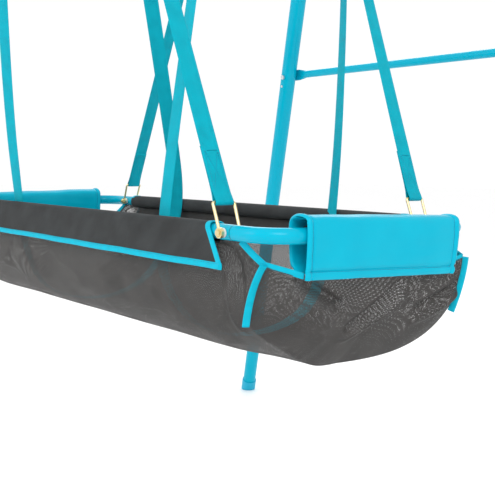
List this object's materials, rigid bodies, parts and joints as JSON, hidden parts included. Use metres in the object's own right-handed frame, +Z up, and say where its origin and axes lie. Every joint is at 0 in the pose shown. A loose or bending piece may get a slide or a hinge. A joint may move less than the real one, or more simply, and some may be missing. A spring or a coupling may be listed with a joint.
{
  "type": "hammock on stand",
  "caption": "Boat-shaped mesh hammock basket on a tube frame, hung by webbing from the top bar of a splayed A-frame stand; swings about the bar.",
  "frame": {"origin": "on the ground under the middle of the basket, at the centre of the four feet", "axes": "+Z up, +X along the hammock, +Y along the top bar"},
  "size_m": [1.8762, 1.9812, 2.2601],
  "materials": {
    "painted_steel": "turquoise powder coat, semi-gloss",
    "plated_steel": "yellow zinc plate on steel wire",
    "zinc_fasteners": "bright zinc plate",
    "nylon": "black moulded nylon",
    "cap_plastic": "turquoise moulded polyethylene",
    "webbing": "turquoise woven polyester webbing",
    "mesh": "charcoal open woven polyester mesh",
    "sleeve_cloth": "charcoal plain-woven polyester",
    "cuff_vinyl": "turquoise padded vinyl, semi-gloss",
    "binding": "turquoise bias binding",
    "foam": "closed-cell foam"
  },
  "bodies": {
    "stand": {"apex_bolts": "zinc_fasteners", "apex_bracket_far": "painted_steel", "apex_bracket_near": "painted_steel", "apex_nuts": "zinc_fasteners", "brace_bolts": "zinc_fasteners", "brace_far": "painted_steel", "brace_near": "painted_steel", "brace_nuts": "zinc_fasteners", "foot_cap_far_left": "cap_plastic", "foot_cap_far_right": "cap_plastic", "foot_cap_near_left": "cap_plastic", "foot_cap_near_right": "cap_plastic", "hanger_bolts": "zinc_fasteners", "hanger_nuts": "zinc_fasteners", "leg_joint_screws": "zinc_fasteners", "lower_leg_far_left": "painted_steel", "lower_leg_far_right": "painted_steel", "lower_leg_near_left": "painted_steel", "lower_leg_near_right": "painted_steel", "main_hanger_far": "painted_steel", "main_hanger_near": "painted_steel", "sling_hangers": "painted_steel", "top_bar": "painted_steel", "upper_leg_far_left": "painted_steel", "upper_leg_far_right": "painted_steel", "upper_leg_near_left": "painted_steel", "upper_leg_near_right": "painted_steel"},
    "hammock": {"corner_ring_far_left": "plated_steel", "corner_ring_far_right": "plated_steel", "corner_ring_near_left": "plated_steel", "corner_ring_near_right": "plated_steel", "cuff_left": "cuff_vinyl", "cuff_right": "cuff_vinyl", "end_tube_left": "painted_steel", "end_tube_right": "painted_steel", "foam_pad_left": "foam", "foam_pad_right": "foam", "hanger_bushes": "nylon", "long_tube_far": "painted_steel", "long_tube_near": "painted_steel", "main_hook_far": "plated_steel", "main_hook_near": "plated_steel", "mesh_basket": "mesh", "ring_bolts": "plated_steel", "ring_nuts": "plated_steel", "ring_spacers": "nylon", "sleeve_far": "sleeve_cloth", "sleeve_near": "sleeve_cloth", "sling_hooks": "plated_steel", "sling_left": "webbing", "sling_right": "webbing", "strap_far": "webbing", "strap_near": "webbing"}
  },
  "joints": [
    {"name": "swing", "type": "hinge", "parent": "stand", "child": "hammock", "pos_m": [0, 0, 2.182], "axis": [0, 1, 0], "range_deg": [-28, 28]}
  ]
}
